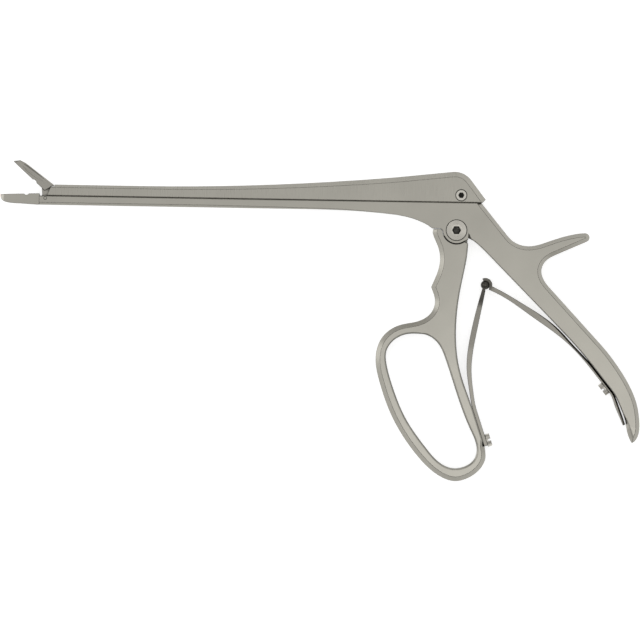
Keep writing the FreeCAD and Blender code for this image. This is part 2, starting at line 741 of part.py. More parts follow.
HANDLE_SHOULDER = 0.4
HANDLE_TOP = Vector(-9.2, HANDLE_SHOULDER, 0)


def handle_outline():
    """The finger loop and its shank, as thick as the rest of the instrument."""
    round_lobe = size("lobe_radius") + size("shoulder_gap")
    corner = Vector(-math.cos(0.08), -math.sin(0.08), 0) * round_lobe
    heel = Vector(3.2, -math.sqrt(round_lobe ** 2 - 3.2 ** 2), 0)
    draw = Outline(HANDLE_TOP.x, HANDLE_TOP.y).line(-6.6, HANDLE_SHOULDER)
    draw.bend(corner.x, corner.y).turn(0.08, -1).bend(heel.x, heel.y).line(4.75, -5.3)
    run = seat_direction(FRONT_SEAT)
    draw.turn(-0.05, -1).smooth([(4.37, -10.25), (2.61, -19.88), (0.95, -30.5), (0.42, -40.0),
                                 (1.9, -54.6), (4.5, -63.05), (FRONT_SEAT[0].x, FRONT_SEAT[0].y)],
                                run.x, run.y)
    draw.line(FRONT_SEAT[1].x, FRONT_SEAT[1].y)
    draw.turn(0.12, -1)
    draw.smooth([(13.1, -90.6), (10.6, -95.8), (6.2, -99.05), (1.04, -100.4), (-5.6, -98.2),
                 (-14.8, -89.8), (-24.3, -75.5), (-29.8, -61.2), (-31.5, -51.0), (-29.0, -43.3),
                 (-22.0, -38.3), (-14.3, -36.5), (-9.4, -32.9), (-8.1, -28.4), (-9.77, -22.9)],
                -0.4, 1.0)
    draw.turn(0.42, 1.0).smooth([(-7.55, -17.65), (-6.35, -11.6), (-7.67, -5.65), (-9.47, -0.88)],
                                -0.1, 1.0)
    return draw.close()


def loop_hole():
    """The opening for the fingers."""
    draw = Outline(1.16, -95.31)
    draw.turn(1, 0.05).smooth([(5.42, -94.24), (8.8, -91.2), (9.54, -86.97), (6.94, -79.81),
                               (0.42, -63.12), (-3.66, -51.19), (-7.3, -44.6), (-13.14, -41.75)],
                              -1, 0.05)
    draw.smooth([(-18.9, -41.84), (-24.26, -44.33), (-27.34, -49.18), (-27.14, -53.98),
                 (-24.38, -63.54), (-19.22, -75.45), (-10.82, -87.31), (-4.0, -93.9), (1.16, -95.31)],
                1, 0.05)
    return draw.close()


def tongue_outline():
    """The thin tongue over the handle: a hub on the pivot joined to an eye on the drive."""
    hub = size("hub_radius")
    eye = size("drive_sleeve_radius") + size("drive_eye_wall")
    run = Vector(DRIVE.x, DRIVE.y, 0).normalize()
    lean = (hub - eye) / DRIVE.Length
    across = Vector(run.y, -run.x, 0) * math.sqrt(1.0 - lean * lean)
    right = run * lean + across
    left = run * lean - across
    draw = Outline(-hub, 0).line(-hub, -8.0).line(4.45, -8.0).line(4.45, -math.sqrt(hub ** 2 - 4.45 ** 2))
    draw.turn(0.4, 1).bend(right.x * hub, right.y * hub)
    draw.line(DRIVE.x + right.x * eye, DRIVE.y + right.y * eye)
    draw.bend(DRIVE.x + left.x * eye, DRIVE.y + left.y * eye)
    draw.line(left.x * hub, left.y * hub)
    draw.bend(-hub, 0)
    return draw.close()


def drive_eye_outline():
    """The eye is a little longer than round, as the pivot swings and the slide runs straight."""
    run = Vector(DRIVE.x, DRIVE.y, 0).normalize()
    side = Vector(run.y, -run.x, 0) * (size("drive_sleeve_radius") + size("running_clearance"))
    low = DRIVE - run * size("slot_play")
    high = DRIVE + run * size("slot_play")
    draw = Outline(low.x + side.x, low.y + side.y).line(high.x + side.x, high.y + side.y)
    draw.bend(high.x - side.x, high.y - side.y).line(low.x - side.x, low.y - side.y)
    draw.bend(low.x + side.x, low.y + side.y)
    return draw.close()


def on_loop_outside(edge):
    """True for the rim down the front of the shank and round the outside of the loop."""
    middle = edge.valueAt((edge.FirstParameter + edge.LastParameter) / 2.0)
    return on_faces(edge) and not round_loop_hole(edge) and middle.x < -5.0 and middle.y < -2.0


def on_shank_back(edge):
    middle = edge.valueAt((edge.FirstParameter + edge.LastParameter) / 2.0)
    return on_faces(edge) and middle.x > 0.0 and edge.BoundBox.YLength > 50.0


def round_loop_hole(edge):
    """True for the two rims of the finger hole."""
    box = edge.BoundBox
    return on_faces(edge) and box.XMax < 12.0 and box.YMax < -40.0 and box.YMin > -98.0


def make_handle():
    body = new_body("finger_loop_handle")
    slab(body, "loop_plate", handle_outline() + loop_hole(), "Sizes.body_thickness")
    bevel(body, "outer_bevel", on_loop_outside, "Sizes.loop_bevel")
    bevel(body, "shank_bevel", on_shank_back, "Sizes.inner_bevel")
    bevel(body, "loop_rounding", round_loop_hole, "Sizes.loop_round", "PartDesign::Fillet")
    slab(body, "tongue", tongue_outline(), "Sizes.tongue_slot - 2 * Sizes.tongue_clearance")
    cross_bore(body, "pivot_bore", Vector(0, 0, 0),
               "Sizes.pivot_sleeve_radius + Sizes.running_clearance")
    through_cut(body, "drive_eye", drive_eye_outline())
    spring_holes(body, FRONT_SEAT, FRONT_NORMAL, FRONT_SCREW_PLACE, "front_leaf_thickness")
    return body


def make_sleeve(label, centre, head, stem):
    """A flanged sleeve set in from below, with a through bore for its screw."""
    body = new_body(label)
    turned(body, label + "_flange", "AdditiveCylinder", centre, UP,
           Radius="Sizes.%s_head_radius - 0.05" % head, Height="Sizes.%s_head_height" % head)
    turned(body, label + "_barrel", "AdditiveCylinder", centre, UP,
           Radius="Sizes.%s_sleeve_radius" % stem,
           Height="Sizes.body_thickness - Sizes.%s_head_height" % head)
    turned(body, label + "_bore", "SubtractiveCylinder", centre - UP, UP,
           Radius="Sizes.%s_screw_radius + Sizes.fit_clearance" % stem,
           Height="Sizes.body_thickness + 2")
    return body


def make_head_screw(label, centre, name):
    """A flat-headed screw with a key socket, flush with the upper face."""
    body = new_body(label)
    top = Vector(centre.x, centre.y, size("body_thickness"))
    turned(body, label + "_head", "AdditiveCylinder", top, -UP,
           Radius="Sizes.%s_head_radius" % name, Height="Sizes.%s_head_height" % name)
    bevel(body, label + "_edge", on_top_face, "Sizes.head_edge")
    turned(body, label + "_shank", "AdditiveCylinder", top, -UP,
           Radius="Sizes.%s_screw_radius" % name, Height="Sizes.body_thickness")
    return body


def on_top_face(edge):
    box = edge.BoundBox
    return box.ZMin > size("body_thickness") - 1e-4


def make_pivot_screw():
    centre = Vector(0, 0, 0)
    body = make_head_screw("pivot_screw", centre, "pivot")
    top = Vector(0, 0, size("body_thickness"))
    turned(body, "dish", "SubtractiveCone", top, -UP, Radius1="Sizes.pivot_dish_radius",
           Radius2="Sizes.pivot_screw_radius", Height="Sizes.pivot_dish_depth")
    hex_socket(body, "socket", top + UP * 0.5, UP, "Sizes.pivot_hex_flats",
               "Sizes.pivot_hex_depth + 0.5")
    return body


def make_drive_screw():
    body = make_head_screw("drive_screw", DRIVE, "drive")
    top = Vector(DRIVE.x, DRIVE.y, size("body_thickness"))
    hex_socket(body, "socket", top + UP * 0.5, UP, "Sizes.drive_hex_flats",
               "Sizes.drive_hex_depth + 0.5")
    return body


def make_cross_pin(label, centre, inset):
    """A plain pin across the shaft, its ends a little inside the cheeks."""
    body = new_body(label)
    lower_end = Vector(centre.x, centre.y, MIDDLE - size("shaft_width") / 2.0 + inset)
    turned(body, label + "_pin", "AdditiveCylinder", lower_end, UP,
           Radius="Sizes.jaw_pin_radius", Height="Sizes.shaft_width - %.4f" % (2.0 * inset))
    return body


def narrowing(wide_at, slim_at, beyond):
    """A strip beside a leaf: nothing at the wide end, more towards the free end."""
    wide = size("leaf_width") / 2.0
    slim = size("leaf_tip_width") / 2.0
    strips = []
    for side in (-1.0, 1.0):
        draw = Outline(wide_at, MIDDLE + side * wide).line(slim_at, MIDDLE + side * slim)
        draw.line(beyond, MIDDLE + side * slim).line(beyond, MIDDLE + side * (wide + 1.0))
        strips += draw.line(wide_at, MIDDLE + side * (wide + 1.0)).close()
    return strips


def front_leaf_outline():
    """The front leaf bows away from its handle and ends in a ball."""
    run = seat_direction(FRONT_SEAT)
    across = FRONT_NORMAL * size("front_leaf_thickness")
    foot = FRONT_SEAT[1] - run * 0.5
    lift = FRONT_SEAT[0] + run * 0.95
    draw = Outline(foot.x, foot.y).line(lift.x, lift.y)
    draw.smooth([(6.42, -65.42), (5.05, -55.8), (6.37, -41.4), (10.4, -24.4)], 0.28, 1.0)
    draw.line(10.9, -22.6).line(11.9, -22.6).line(11.95, -24.2)
    draw.turn(-0.18, -1).smooth([(8.61, -41.4), (6.9, -55.8), (7.9, -65.4),
                                 (lift.x + across.x, lift.y + across.y)], run.x, run.y)
    draw.line(foot.x + across.x, foot.y + across.y)
    return draw.close()


def leaf_holes(body, seat, normal, screw_place, thickness):
    """Clearance for the screw and the locating pin."""
    for name, place, radius in (("screw_hole", screw_place, "leaf_screw_radius"),
                                ("pin_hole", screw_place - size("leaf_pin_spacing"), "leaf_pin_radius")):
        turned(body, name, "SubtractiveCylinder", on_seat(seat, place) - normal * 0.5, normal,
               Radius="Sizes.%s + Sizes.fit_clearance" % radius,
               Height="Sizes.%s + 1" % thickness)


def make_front_leaf():
    body = new_body("front_leaf_spring")
    slab(body, "leaf", front_leaf_outline(), "Sizes.leaf_width")
    through_cut(body, "narrowing", narrowing(-47.0, -27.0, -20.0), "YZ_Plane")
    turned(body, "ball", "AdditiveSphere", MEETING + UP * MIDDLE, UP, Radius="Sizes.ball_radius")
    leaf_holes(body, FRONT_SEAT, FRONT_NORMAL, FRONT_SCREW_PLACE, "front_leaf_thickness")
    return body


def rear_leaf_outline():
    """The rear leaf lies along its handle, bows clear of it and reaches to the ball."""
    run = seat_direction(REAR_SEAT)
    across = REAR_NORMAL * size("rear_leaf_thickness")
    foot = REAR_SEAT[1] - run * 0.3
    lift = REAR_SEAT[0] + run * 1.0
    draw = Outline(68.75, -76.6)
    draw.turn(-0.3, 1).smooth([(65.95, -68.85), (foot.x, foot.y)], -run.x, -run.y)
    draw.line(lift.x, lift.y)
    draw.smooth([(47.7, -45.35), (41.2, -38.6), (27.25, -29.07), (13.6, -21.75)], -0.95, 0.4)
    draw.line(13.4, -23.6).turn(0.9, -0.4)
    draw.smooth([(15.5, -24.5), (30.45, -33.81), (43.65, -43.19),
                 (lift.x + across.x, lift.y + across.y)], run.x, run.y)
    draw.line(foot.x + across.x, foot.y + across.y)
    draw.smooth([(64.45, -68.9), (67.9, -77.0)], 0.36, -1)
    return draw.close()


HOOK_START = math.radians(-35.0)
HOOK_END = math.radians(116.0)


def hook_outline():
    """The hook reaches over the ball from the rear."""
    outer = size("ball_radius") + size("ball_clearance") + size("socket_wall")
    start = MEETING + Vector(math.cos(HOOK_START), math.sin(HOOK_START), 0) * outer
    end = MEETING + Vector(math.cos(HOOK_END), math.sin(HOOK_END), 0) * outer
    draw = Outline(MEETING.x, MEETING.y).line(start.x, start.y)
    draw.turn(-math.sin(HOOK_START), math.cos(HOOK_START)).bend(end.x, end.y)
    return draw.close()


def make_rear_leaf():
    body = new_body("rear_leaf_spring")
    slab(body, "leaf", rear_leaf_outline(), "Sizes.leaf_width")
    bevel(body, "long_bevel", on_leaf_back, "Sizes.rear_leaf_bevel")
    through_cut(body, "narrowing", narrowing(44.0, 20.0, 10.0), "XZ_Plane")
    slab(body, "hook", hook_outline(), "Sizes.leaf_tip_width")
    turned(body, "ball_seat", "SubtractiveSphere", MEETING + UP * MIDDLE, UP,
           Radius="Sizes.ball_radius + Sizes.ball_clearance")
    leaf_holes(body, REAR_SEAT, REAR_NORMAL, REAR_SCREW_PLACE, "rear_leaf_thickness")
    return body


def on_leaf_back(edge):
    """True for the two long curved edges on the side towards the handle."""
    middle = edge.valueAt((edge.FirstParameter + edge.LastParameter) / 2.0)
    box = edge.BoundBox
    level = box.ZLength < 1e-4 and box.XLength > 30.0
    return level and middle.y > -1.0 * middle.x


def key_slot(centre, normal):
    """A straight slot across the thickness, sunk along the opposite of the normal."""
    run = Vector(-normal.y, normal.x, 0) * (size("leaf_screw_slot") / 2.0)
    floor = centre - normal * size("leaf_screw_slot_depth")
    above = centre + normal
    draw = Outline(floor.x - run.x, floor.y - run.y).line(floor.x + run.x, floor.y + run.y)
    draw.line(above.x + run.x, above.y + run.y).line(above.x - run.x, above.y - run.y)
    return draw.close()


def make_leaf_screw(label, seat, normal, screw_place, thickness):
    """A cheese-headed screw that holds a leaf down on its seat."""
    body = new_body(label)
    under_head = on_seat(seat, screw_place) + normal * size(thickness)
    turned(body, label + "_head", "AdditiveCylinder", under_head, normal,
           Radius="Sizes.leaf_screw_head_radius", Height="Sizes.leaf_screw_head_height")
    turned(body, label + "_shank", "AdditiveCylinder", under_head + normal * 0.5, -normal,
           Radius="Sizes.leaf_screw_radius", Height="Sizes.leaf_screw_length + 0.5")
    top = under_head + normal * size("leaf_screw_head_height")
    through_cut(body, label + "_slot", key_slot(top, normal))
    return body


def make_leaf_pin(label, seat, normal, screw_place, thickness):
    """A small pin beside the screw that stops the leaf turning."""
    body = new_body(label)
    outside = on_seat(seat, screw_place - size("leaf_pin_spacing")) + normal * size(thickness)
    turned(body, label + "_pin", "AdditiveCylinder", outside, -normal,
           Radius="Sizes.leaf_pin_radius", Height="Sizes.%s + Sizes.leaf_pin_depth" % thickness)
    return body


def make_all():
    return [
        make_frame(),
        make_slide(),
        make_jaw(),
        make_handle(),
        make_pivot_screw(),
        make_sleeve("pivot_sleeve", Vector(0, 0, 0), "pivot", "pivot"),
        make_drive_screw(),
        make_sleeve("drive_sleeve", DRIVE, "drive", "drive"),
        make_cross_pin("jaw_pivot_pin", HINGE, 0.0),
        make_cross_pin("jaw_drive_pin", PIN_OPEN, size("drive_slot_skin") + PIN_PLAY),
        make_front_leaf(),
        make_rear_leaf(),
        make_leaf_screw("front_spring_screw", FRONT_SEAT, FRONT_NORMAL, FRONT_SCREW_PLACE,
                        "front_leaf_thickness"),
        make_leaf_screw("rear_spring_screw", REAR_SEAT, REAR_NORMAL, REAR_SCREW_PLACE,
                        "rear_leaf_thickness"),
        make_leaf_pin("front_spring_pin", FRONT_SEAT, FRONT_NORMAL, FRONT_SCREW_PLACE,
                      "front_leaf_thickness"),
        make_leaf_pin("rear_spring_pin", REAR_SEAT, REAR_NORMAL, REAR_SCREW_PLACE,
                      "rear_leaf_thickness"),
    ]


def check(parts):
    for thing in doc.Objects:
        if "Invalid" in thing.State or "Error" in thing.State:
            raise RuntimeError("%s did not build: %s" % (thing.Name, thing.State))
    for part in parts:
        shape = part.Shape
        if shape.isNull() or not shape.isValid() or len(shape.Solids) != 1 or shape.Volume <= 0.0:
            raise RuntimeError("%s is not one sound solid" % part.Label)


def write(parts):
    for part in parts:
        part.Shape.exportStep("parts/%s.step" % part.Label)
        print(part.Label, round(part.Shape.Volume, 1))


PARTS = make_all()
doc.recompute()
check(PARTS)
write(PARTS)
print("travel %.4f mm, squeeze %.3f degrees" % (SLIDE_TRAVEL, SQUEEZE))
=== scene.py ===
import json
import math

import bpy
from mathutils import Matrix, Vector

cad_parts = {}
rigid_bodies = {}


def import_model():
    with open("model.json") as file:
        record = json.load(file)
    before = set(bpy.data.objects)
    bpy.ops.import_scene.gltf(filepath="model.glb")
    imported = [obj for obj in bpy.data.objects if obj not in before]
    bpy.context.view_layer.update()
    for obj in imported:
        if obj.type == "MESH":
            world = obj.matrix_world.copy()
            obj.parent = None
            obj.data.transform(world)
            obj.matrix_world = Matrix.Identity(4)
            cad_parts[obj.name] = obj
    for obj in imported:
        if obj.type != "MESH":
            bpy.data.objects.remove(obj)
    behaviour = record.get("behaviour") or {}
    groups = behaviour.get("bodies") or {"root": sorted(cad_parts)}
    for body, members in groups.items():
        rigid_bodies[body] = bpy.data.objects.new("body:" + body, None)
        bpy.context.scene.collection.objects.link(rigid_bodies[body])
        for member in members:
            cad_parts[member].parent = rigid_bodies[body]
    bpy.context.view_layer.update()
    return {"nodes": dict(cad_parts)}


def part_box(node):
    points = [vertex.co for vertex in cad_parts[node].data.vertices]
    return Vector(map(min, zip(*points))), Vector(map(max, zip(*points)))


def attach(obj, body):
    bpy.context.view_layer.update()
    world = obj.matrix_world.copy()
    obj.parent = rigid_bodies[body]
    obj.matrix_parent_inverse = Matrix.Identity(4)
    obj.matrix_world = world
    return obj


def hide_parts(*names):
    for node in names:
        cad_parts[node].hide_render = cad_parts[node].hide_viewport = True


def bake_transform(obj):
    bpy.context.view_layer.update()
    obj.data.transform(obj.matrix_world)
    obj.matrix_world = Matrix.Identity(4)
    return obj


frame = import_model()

# A pituitary rongeur of satin stainless steel, lying on a pale table and seen from above.
# Everything is in metres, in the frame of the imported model: X along the shaft towards the
# hand, Y up in the plane of the handles, Z through the thickness.

MM = 0.001
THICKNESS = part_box("main_frame")[1].z

# The photograph shows a field this wide, centred here, from straight above, and the
# instrument lies turned a little in it.
FIELD_WIDTH = 256.0 * MM
FIELD_CENTRE = Vector((-54.03 * MM, -36.83 * MM, 0.0))
FIELD_TURN = math.radians(0.96)
CAMERA_DISTANCE = 3.0
SENSOR = 36.0

# The steels' own colours, and how their surfaces are finished.
WARM_STEEL = (0.366, 0.353, 0.312)
JAW_STEEL = (0.325, 0.312, 0.278)
SPRING_STEEL = (0.25, 0.239, 0.211)
SCREW_STEEL = (0.52, 0.50, 0.45)
EVEN = (1.0, 1.0, 1.0)
ACROSS_THE_BAR = (1.0, 0.05, 0.05)
ALONG_THE_LEAF = (1.0, 0.15, 1.0)
CLOUD_SCALE = 60.0
CLOUD_DARK = 0.9
CLOUD_LIGHT = 1.08
RING_FINENESS = 9000.0
ROUGHNESS_SPREAD = 0.06
RELIEF_DEPTH = 0.02 * MM

# Edges: how wide they are softened, the agreement of the two normals at which the painted dark line
# of shade starts and is full, how dark that painted shade is, and how much smoother.
EDGE_RADIUS = 0.32 * MM
EDGE_STARTS = 0.998
EDGE_FULL = 0.972
PAINTED_EDGE_SHADE = 0.36
EDGE_POLISH = 0.12

# Recesses, darkened by painted shade: how far off a wall still darkens them, and the share of open
# sky at which the painted shade starts and is full.
RECESS_REACH = 1.2 * MM
SOCKET_REACH = 5.0 * MM
RECESS_STARTS = 0.78
RECESS_FULL = 0.3
PAINTED_RECESS_SHADE = 0.03

# The leaves are darker near where they meet, this far from there.
MEETING_END_MARK = "darker_near_meeting"
MEETING_END_SHADE = 0.28
MEETING_END_FADE = 1.2 * MM
FRONT_DARK_END = 8.5 * MM
REAR_DARK_END = 3.2 * MM

# The leaves bend between their roots and the place where they meet.
MEETING = Vector((11.9 * MM, -21.7 * MM, THICKNESS / 2.0))
FRONT_ROOT = Vector((8.2 * MM, -73.0 * MM, THICKNESS / 2.0))
REAR_ROOT = Vector((55.0 * MM, -53.0 * MM, THICKNESS / 2.0))
SPRING_STEP = 1.6 * MM

# The grip's inner side is square to its faces, as far as the tip, with only a fine bevel.
GRIP_BEVEL = 1.5 * MM
BEVEL_SPREAD = 1.16
FINE_BEVEL = 0.22 * MM
FINE_BEVEL_FROM = 0.8
GRIP_TOP = -2.0 * MM
GRIP_INNER_START = 7.0 * MM
GRIP_INNER_END = 74.0 * MM
SQUARE_TO = -72.0 * MM
BEVELLED_FROM = -79.0 * MM

# The frame's lower rim stands close to the shoulder of the finger loop's shank.
SHOULDER_LOW = Vector((-9.9 * MM, -2.2 * MM, -1.0))
SHOULDER_HIGH = Vector((-4.7 * MM, 1.3 * MM, 1.0))
SHOULDER_CLOSING = Vector((-0.16 * MM, -0.2 * MM, 0.0))

# The moving jaw's long side hollow, and its tip: the way along the jaw to the tip, and the
# way out through its back.
JAW_SCOOP_RADIUS = 2.6 * MM
JAW_SCOOP_DEPTH = 0.4 * MM
JAW_SCOOP_START = Vector((-165.4 * MM, 17.07 * MM, 0.0))
JAW_SCOOP_END = Vector((-174.3 * MM, 23.64 * MM, 0.0))
JAW_WAY = Vector((-0.787, 0.616, 0.0))
JAW_BACK_WAY = Vector((0.616, 0.787, 0.0))
JAW_TIP_CORNER = Vector((-174.83 * MM, 25.38 * MM, 0.0))
JAW_TIP_REACH = 0.8 * MM
JAW_TIP_RUN = 6.0 * MM
JAW_TIP_CUTS = ((2.3 * MM, 0.55 * MM), (1.2 * MM, 1.2 * MM))

# The studio: the sky's level by height, how much brighter its sides are, and the table top.
SKY_HORIZON = 0.68
SKY_TOP = 0.92
SKY_LEVELS = ((0.42, 0.66), (0.54, 0.28), (0.76, 0.28), (0.88, 0.9))
SIDE_FULL = 0.7
SIDE_LOW = 0.98
SIDE_HIGH = 1.35
FLOOR_SIZE = 6.0
FLOOR_DROP = 0.05 * MM
FLOOR_GREY = (0.62, 0.62, 0.62, 1.0)
FLOOR_GLOW = 0.7
WHITE = (1.0, 1.0, 1.0, 1.0)


def new_nodes(tree):
    """A short way to add a node with its inputs set or linked by name or number."""
    def add(kind, inputs=None, **settings):
        node = tree.nodes.new(kind)
        for key, value in settings.items():
            setattr(node, key, value)
        for key, value in (inputs or {}).items():
            if isinstance(value, bpy.types.NodeSocket):
                tree.links.new(value, node.inputs[key])
            else:
                node.inputs[key].default_value = value
        return node
    return add


def new_group(name, inputs, outputs):
    """A shader node group, with the nodes that hold what goes in and what comes out."""
    group = bpy.data.node_groups.new(name, "ShaderNodeTree")
    for label, kind, value in inputs:
        socket = group.interface.new_socket(label, in_out="INPUT", socket_type=kind)
        socket.default_value = value
    for label, kind in outputs:
        group.interface.new_socket(label, in_out="OUTPUT", socket_type=kind)
    return group, group.nodes.new("NodeGroupInput"), group.nodes.new("NodeGroupOutput")


def make_grain_group():
    """Fine finishing marks that can be drawn out along a direction, over a slow cloudiness."""
    group, given, result = new_group(
        "finishing_marks",
        [("Stretch", "NodeSocketVector", (1.0, 1.0, 1.0)), ("Fineness", "NodeSocketFloat", 3000.0)],
        [("Marks", "NodeSocketFloat"), ("Clouds", "NodeSocketFloat")])
    add = new_nodes(group)
    place = add("ShaderNodeTexCoord")
    drawn = add("ShaderNodeVectorMath", {0: place.outputs["Object"], 1: given.outputs["Stretch"]},
                operation="MULTIPLY")
    fine = add("ShaderNodeTexNoise", {"Vector": drawn.outputs[0], "Scale": given.outputs["Fineness"],
                                      "Detail": 3.0, "Roughness": 0.6})
    slow = add("ShaderNodeTexNoise", {"Vector": place.outputs["Object"], "Scale": CLOUD_SCALE,
                                      "Detail": 2.0})
    group.links.new(fine.outputs["Fac"], result.inputs["Marks"])
    group.links.new(slow.outputs["Fac"], result.inputs["Clouds"])
    return group


def make_edge_group():
    """A softened edge: its normal, and a mask for the painted dark line of shade along it."""
    group, given, result = new_group(
        "softened_edges_and_painted_line", [],
        [("Normal", "NodeSocketVector"), ("Edge", "NodeSocketFloat")])
    group.nodes.remove(given)
    add = new_nodes(group)
    soft = add("ShaderNodeBevel", {"Radius": EDGE_RADIUS}, samples=8)
    facing = add("ShaderNodeNewGeometry")
    agree = add("ShaderNodeVectorMath", {0: soft.outputs["Normal"], 1: facing.outputs["Normal"]},
                operation="DOT_PRODUCT")
    mask = add("ShaderNodeMapRange", {"Value": agree.outputs["Value"], "From Min": EDGE_STARTS,
                                      "From Max": EDGE_FULL, "To Min": 0.0, "To Max": 1.0})
    group.links.new(soft.outputs["Normal"], result.inputs["Normal"])
    group.links.new(mask.outputs["Result"], result.inputs["Edge"])
    return group


def make_turning_group():
    """The rings that a lathe leaves round an axis through a centre."""
    group, given, result = new_group(
        "turning_marks",
        [("Centre", "NodeSocketVector", (0.0, 0.0, 0.0)), ("Mask", "NodeSocketVector", (1.0, 1.0, 0.0))],
        [("Rings", "NodeSocketFloat")])
    add = new_nodes(group)
    place = add("ShaderNodeTexCoord")
    away = add("ShaderNodeVectorMath", {0: place.outputs["Object"], 1: given.outputs["Centre"]},
               operation="SUBTRACT")
    flat = add("ShaderNodeVectorMath", {0: away.outputs[0], 1: given.outputs["Mask"]}, operation="MULTIPLY")
    radius = add("ShaderNodeVectorMath", {0: flat.outputs[0]}, operation="LENGTH")
    rings = add("ShaderNodeTexNoise", {"W": radius.outputs["Value"], "Scale": RING_FINENESS,
                                       "Detail": 2.0}, noise_dimensions="1D")
    group.links.new(rings.outputs["Fac"], result.inputs["Rings"])
    return group


def make_recess_group():
    """A mask of sockets, slots and joint lines, where little light gets in, for painted shade."""
    group, given, result = new_group(
        "recess_painted_shade",
        [("Reach", "NodeSocketFloat", RECESS_REACH)],
        [("Recess", "NodeSocketFloat")])
    add = new_nodes(group)
    open_sky = add("ShaderNodeAmbientOcclusion", {"Distance": given.outputs["Reach"]}, samples=12)
    mask = add("ShaderNodeMapRange", {"Value": open_sky.outputs["AO"], "From Min": RECESS_STARTS,
                                      "From Max": RECESS_FULL, "To Min": 0.0, "To Max": 1.0})
    group.links.new(mask.outputs["Result"], result.inputs["Recess"])
    return group


GRAIN = make_grain_group()
EDGES = make_edge_group()
TURNING = make_turning_group()
RECESS = make_recess_group()


def shade(color, factor):
    """A colour made darker or lighter by a factor, in full opacity."""
    return (color[0] * factor, color[1] * factor, color[2] * factor, 1.0)


def finished_steel(name, color, roughness, fineness, mark_depth, bump, stretch=EVEN, centre=None,
                   recess_reach=RECESS_REACH, darker_at_meeting=False):
    """Steel with fine marks, slow clouds, a painted dark line of shade along its edges and painted shade in
    its recesses.

    A centre turns the marks into rings, and steel marked as darker near the leaves' meeting ends is
    darkened there.
    """
    material = bpy.data.materials.new(name)
    material.use_nodes = True
    tree = material.node_tree
    add = new_nodes(tree)
    surface = tree.nodes["Principled BSDF"]
    surface.inputs["Metallic"].default_value = 1.0
    marks = add("ShaderNodeGroup", {}, node_tree=GRAIN)
    marks.inputs["Stretch"].default_value = stretch
    marks.inputs["Fineness"].default_value = fineness
    edges = add("ShaderNodeGroup", {}, node_tree=EDGES)
    height = marks.outputs["Marks"]
    if centre is not None:
        turned = add("ShaderNodeGroup", {}, node_tree=TURNING)
        turned.inputs["Centre"].default_value = centre
        height = turned.outputs["Rings"]
    shades = add("ShaderNodeMix", {"Factor": height, "A": shade(color, 1.0 - mark_depth),
                                   "B": shade(color, 1.0 + mark_depth)}, data_type="RGBA")
    clouded = add("ShaderNodeMix", {"Factor": marks.outputs["Clouds"], "A": shade(EVEN, CLOUD_DARK),
                                    "B": shade(EVEN, CLOUD_LIGHT)}, data_type="RGBA")
    toned = add("ShaderNodeMix", {"Factor": 1.0}, data_type="RGBA", blend_type="MULTIPLY")
    tree.links.new(shades.outputs["Result"], toned.inputs["A"])
    tree.links.new(clouded.outputs["Result"], toned.inputs["B"])
    # Painted shade: a dark line drawn into the colour along softened edges, where the reflection turns
    # dark.
    painted_edge_line = add("ShaderNodeMix", {"Factor": edges.outputs["Edge"], "B": shade(color, PAINTED_EDGE_SHADE)},
                 data_type="RGBA")
    tree.links.new(toned.outputs["Result"], painted_edge_line.inputs["A"])
    # Painted shade in sockets, slots and joint lines, where little light gets in.
    recess_shade_mask = add("ShaderNodeGroup", {}, node_tree=RECESS)
    recess_shade_mask.inputs["Reach"].default_value = recess_reach
    recess_painted = add("ShaderNodeMix", {"Factor": recess_shade_mask.outputs["Recess"], "B": shade(color, PAINTED_RECESS_SHADE)},
               data_type="RGBA")
    tree.links.new(painted_edge_line.outputs["Result"], recess_painted.inputs["A"])
    final_color = recess_painted.outputs["Result"]
    # Darker near where the two leaves meet, by the marked attribute.
    if darker_at_meeting:
        near_meeting = add("ShaderNodeAttribute", attribute_name=MEETING_END_MARK)
        darkened_near_meeting = add("ShaderNodeMix", {"Factor": near_meeting.outputs["Fac"], "A": final_color,
                                       "B": shade(color, MEETING_END_SHADE)}, data_type="RGBA")
        final_color = darkened_near_meeting.outputs["Result"]
    tree.links.new(final_color, surface.inputs["Base Color"])
    grainy = add("ShaderNodeMapRange", {"Value": height, "To Min": roughness - ROUGHNESS_SPREAD,
                                        "To Max": roughness + ROUGHNESS_SPREAD})
    polished = add("ShaderNodeMix", {"Factor": edges.outputs["Edge"], "A": grainy.outputs["Result"],
                                     "B": roughness - EDGE_POLISH}, data_type="FLOAT")
    tree.links.new(polished.outputs["Result"], surface.inputs["Roughness"])
    relief = add("ShaderNodeBump", {"Height": height, "Normal": edges.outputs["Normal"],
                                    "Strength": bump, "Distance": RELIEF_DEPTH})
    tree.links.new(relief.outputs["Normal"], surface.inputs["Normal"])
    return material


def centre_of(node):
    low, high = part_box(node)
    return (low + high) / 2.0


def dress(piece, material):
    piece.data.materials.clear()
    piece.data.materials.append(material)


